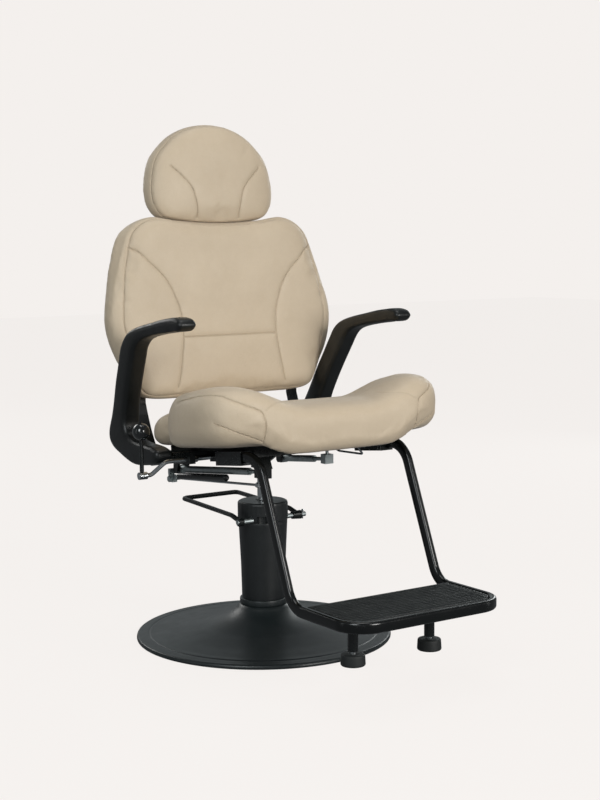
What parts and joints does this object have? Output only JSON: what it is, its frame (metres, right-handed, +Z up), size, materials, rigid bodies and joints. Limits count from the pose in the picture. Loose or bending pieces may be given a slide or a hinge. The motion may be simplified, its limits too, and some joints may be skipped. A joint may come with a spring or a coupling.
{
  "type": "barber chair",
  "caption": "Hydraulic barber chair: round base, pump column with foot pedal, bolstered seat, reclining back, sliding headrest, fixed arms, tube footrest with ribbed mat.",
  "frame": {"origin": "centre of the base disc's underside, on the floor and on the column axis", "axes": "+Z up along the column, the sitter faces -Y, the sitter's left is +X"},
  "size_m": [0.689, 0.9677, 1.2475],
  "materials": {
    "leather": "satin",
    "black_paint": "satin",
    "base_paint": "satin",
    "chrome": "polished",
    "steel": "satin",
    "rubber": "matte",
    "black_plastic": "satin",
    "board": "matte"
  },
  "bodies": {
    "base": {"base_cover": "base_paint", "base_plate": "black_paint", "column_collar": "black_paint", "pump_shroud": "black_paint", "pump_cylinder": "steel", "pump_head": "black_paint"},
    "pedal": {"pedal_bar": "black_paint", "pedal_shaft": "steel", "pedal_split_pin": "chrome"},
    "piston": {"piston_rod": "chrome"},
    "seat": {"seat_board": "board", "seat_frame": "black_paint", "seat_hub": "black_paint", "pivot_bracket_left": "black_paint", "pivot_bracket_right": "black_paint", "seat_cushion": "leather", "footrest_tube": "black_paint", "footrest_socket_left": "black_paint", "footrest_socket_right": "black_paint", "footrest_plate": "black_paint", "footrest_mat": "rubber", "foot_leg_left": "black_paint", "foot_leg_right": "black_paint", "arm_left": "black_plastic", "arm_right": "black_plastic", "arm_bolt_left": "chrome", "arm_bolt_right": "chrome", "lock_rod_left": "steel", "lock_rod_right": "steel", "lock_anchor_left": "steel", "lock_anchor_right": "black_paint"},
    "foot_left": {"foot_stud_left": "chrome", "foot_pad_left": "rubber"},
    "foot_right": {"foot_stud_right": "chrome", "foot_pad_right": "rubber"},
    "lever": {"lever_shaft": "chrome", "lever_barrel": "chrome", "lever_rod": "black_paint", "lever_knob": "black_plastic"},
    "latch": {"latch_loop": "chrome"},
    "lock_left": {"lock_cylinder_left": "chrome"},
    "lock_right": {"lock_cylinder_right": "chrome", "lock_damper_right": "black_paint", "lock_stop_rod_right": "chrome", "lock_end_block_right": "steel"},
    "back": {"recline_shaft": "chrome", "back_bar_left": "black_paint", "back_bar_right": "black_paint", "lock_lever_left": "black_paint", "lock_lever_right": "black_paint", "back_board": "board", "back_cushion": "leather", "back_rear_panel": "leather", "headrest_guide_left": "steel", "headrest_guide_right": "steel"},
    "headrest": {"headrest_cushion": "leather", "headrest_posts": "chrome"}
  },
  "joints": [
    {"name": "pedal_press", "type": "hinge", "parent": "base", "child": "pedal", "pos_m": [0, -0.03, 0.292], "axis": [-1, 0, 0], "range_deg": [0, 25], "stiffness_Nm_per_rad": 4, "springref_deg": -34.38},
    {"name": "lift", "type": "slide", "parent": "base", "child": "piston", "axis": [0, 0, 1], "range_m": [-0.05, 0.1]},
    {"name": "swivel", "type": "hinge", "parent": "piston", "child": "seat", "pos_m": [0, 0, 0.42], "axis": [0, 0, 1], "continuous": true},
    {"name": "back_recline", "type": "hinge", "parent": "seat", "child": "back", "pos_m": [0, 0.125, 0.44], "axis": [-1, 0, 0], "range_deg": [0, 40]},
    {"name": "headrest_slide", "type": "slide", "parent": "back", "child": "headrest", "axis": [0, 0.0958, 0.9954], "range_m": [0, 0.12]},
    {"name": "recline_lever", "type": "hinge", "parent": "seat", "child": "lever", "pos_m": [0, -0.032, 0.456], "axis": [-1, 0, 0], "range_deg": [0, 25], "stiffness_Nm_per_rad": 2, "springref_deg": -28.65},
    {"name": "latch_pull", "type": "hinge", "parent": "seat", "child": "latch", "pos_m": [0.1312, -0.1, 0.47], "axis": [0, 0.9979, -0.0653], "range_deg": [0, 20], "stiffness_Nm_per_rad": 0.5, "springref_deg": -28.65},
    {"name": "lock_slide_left", "type": "slide", "parent": "seat", "child": "lock_left", "axis": [0, -0.9942, 0.108], "range_m": [0, 0.0245]},
    {"name": "lock_slide_right", "type": "slide", "parent": "seat", "child": "lock_right", "axis": [0, -0.9942, 0.108], "range_m": [0, 0.0245]},
    {"name": "foot_screw_left", "type": "slide", "parent": "seat", "child": "foot_left", "axis": [0, 0, 1], "range_m": [-0.008, 0.001]},
    {"name": "foot_screw_right", "type": "slide", "parent": "seat", "child": "foot_right", "axis": [0, 0, 1], "range_m": [-0.008, 0.001]}
  ],
  "couplings": [
    {"joint": "lock_slide_left", "follows": "back_recline", "m_per_rad": 0.03429},
    {"joint": "lock_slide_right", "follows": "back_recline", "m_per_rad": 0.03429}
  ]
}
